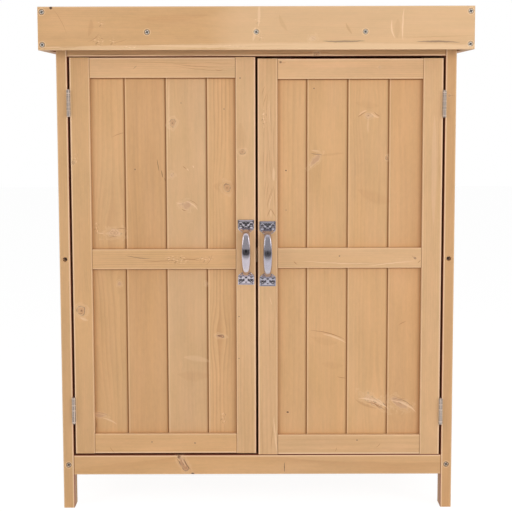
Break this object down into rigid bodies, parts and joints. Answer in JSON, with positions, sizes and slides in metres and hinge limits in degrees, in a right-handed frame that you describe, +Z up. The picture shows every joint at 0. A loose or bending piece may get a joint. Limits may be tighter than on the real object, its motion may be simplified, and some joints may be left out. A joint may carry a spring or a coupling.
{
  "type": "garden storage cabinet",
  "caption": "Upright softwood garden cabinet with a pair of framed and boarded hinged doors, bow handles, an inner shelf, a felted roof that falls to the rear and a deep front roof board.",
  "frame": {"origin": "on the ground, under the middle of the roof", "axes": "+Z up, -Y out of the front of the doors, +X to the right seen from the front"},
  "size_m": [0.74, 0.43, 0.88],
  "materials": {
    "frame_wood": "planed softwood, clear honey stain",
    "door_board_wood": "tongued and grooved softwood, clear honey stain",
    "wall_board_wood": "tongued and grooved softwood, clear honey stain",
    "inner_wood": "planed softwood, bare",
    "roof_wood": "planed softwood, clear honey stain",
    "roof_felt": "mineral felt, fine grit",
    "hinge_zinc": "bright zinc plate",
    "screw_zinc": "bright zinc plate",
    "handle_chrome": "satin to bright chrome plate",
    "catch_plastic": "moulded brown plastic",
    "strike_steel": "zinc plated sheet"
  },
  "bodies": {
    "cabinet": {"back_boards": "wall_board_wood", "floor_boards": "inner_wood", "frame_screws": "screw_zinc", "front_bottom_rail": "frame_wood", "front_floor_cleat": "inner_wood", "front_left_post": "frame_wood", "front_right_post": "frame_wood", "front_top_rail": "frame_wood", "hinge_pins": "hinge_zinc", "left_bottom_rail": "frame_wood", "left_middle_rail": "frame_wood", "left_side_boards": "wall_board_wood", "left_top_rail": "frame_wood", "magnetic_catches": "catch_plastic", "post_hinge_leaves": "hinge_zinc", "post_hinge_screws": "screw_zinc", "rear_bottom_rail": "frame_wood", "rear_floor_cleat": "inner_wood", "rear_left_post": "frame_wood", "rear_middle_rail": "frame_wood", "rear_right_post": "frame_wood", "rear_top_rail": "frame_wood", "right_bottom_rail": "frame_wood", "right_middle_rail": "frame_wood", "right_side_boards": "wall_board_wood", "right_top_rail": "frame_wood", "roof_bearers": "inner_wood", "roof_deck_boards": "inner_wood", "roof_end_bearers": "inner_wood", "roof_felt": "roof_felt", "roof_front_board": "roof_wood", "roof_left_board": "roof_wood", "roof_rear_board": "roof_wood", "roof_right_board": "roof_wood", "roof_screws": "screw_zinc", "shelf_batten": "inner_wood", "shelf_boards": "inner_wood", "shelf_cleats": "inner_wood"},
    "left_door": {"left_door_boards": "door_board_wood", "left_door_bottom_rail": "frame_wood", "left_door_free_stile": "frame_wood", "left_door_handle": "handle_chrome", "left_door_hinge_leaves": "hinge_zinc", "left_door_hinge_stile": "frame_wood", "left_door_middle_rail": "frame_wood", "left_door_screws": "screw_zinc", "left_door_strike_plate": "strike_steel", "left_door_top_rail": "frame_wood"},
    "right_door": {"right_door_boards": "door_board_wood", "right_door_bottom_rail": "frame_wood", "right_door_free_stile": "frame_wood", "right_door_handle": "handle_chrome", "right_door_hinge_leaves": "hinge_zinc", "right_door_hinge_stile": "frame_wood", "right_door_middle_rail": "frame_wood", "right_door_screws": "screw_zinc", "right_door_strike_plate": "strike_steel", "right_door_top_rail": "frame_wood"}
  },
  "joints": [
    {"name": "left_door_hinge", "type": "hinge", "parent": "cabinet", "child": "left_door", "pos_m": [-0.32435, -0.184, 0.44745], "axis": [0, 0, -1], "range_deg": [0, 180]},
    {"name": "right_door_hinge", "type": "hinge", "parent": "cabinet", "child": "right_door", "pos_m": [0.32435, -0.184, 0.44485], "axis": [0, 0, 1], "range_deg": [0, 180]}
  ]
}
